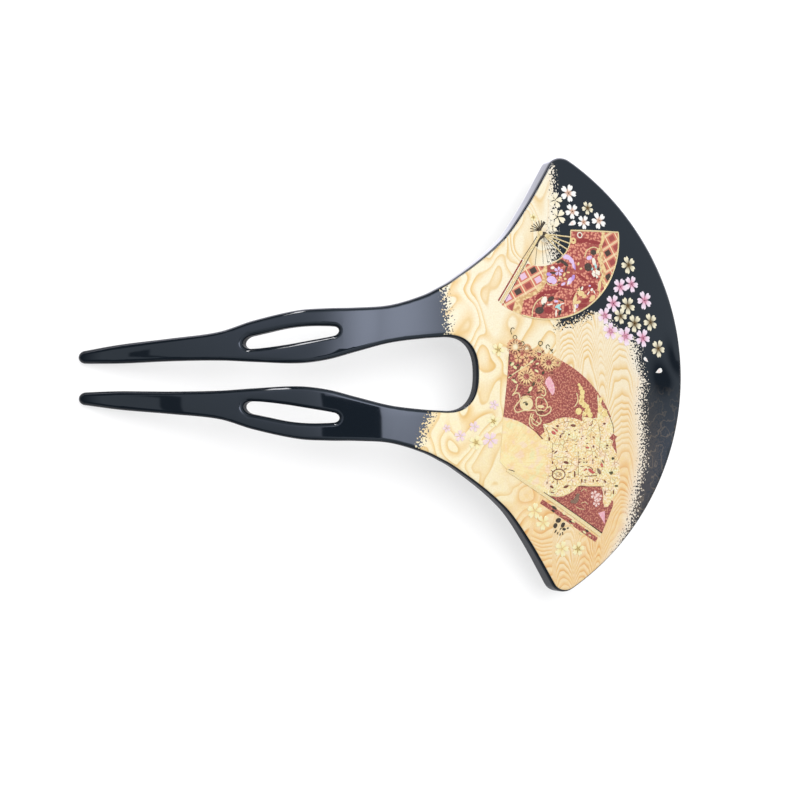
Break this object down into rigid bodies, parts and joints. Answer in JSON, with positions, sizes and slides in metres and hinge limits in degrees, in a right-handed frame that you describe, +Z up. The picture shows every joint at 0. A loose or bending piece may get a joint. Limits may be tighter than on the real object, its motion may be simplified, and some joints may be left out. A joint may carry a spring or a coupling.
{
  "type": "kanzashi",
  "caption": "Fan-headed two-legged hairpin moulded in one arched piece, with slotted legs, black lacquer and raised gold decoration.",
  "frame": {"origin": "centre of the bounding box, at the level that the leg tips and the middle of the rim rest on", "axes": "+X along the pin from the leg tips to the rim, +Z up out of the decorated face, +Y to the left of the head seen from the tips"},
  "size_m": [0.1312, 0.0924, 0.0241],
  "materials": {
    "lacquer": "glossy",
    "gold_ground": "satin",
    "raised_decoration": "glossy"
  },
  "bodies": {
    "root": {"hairpin": "lacquer"}
  },
  "joints": []
}
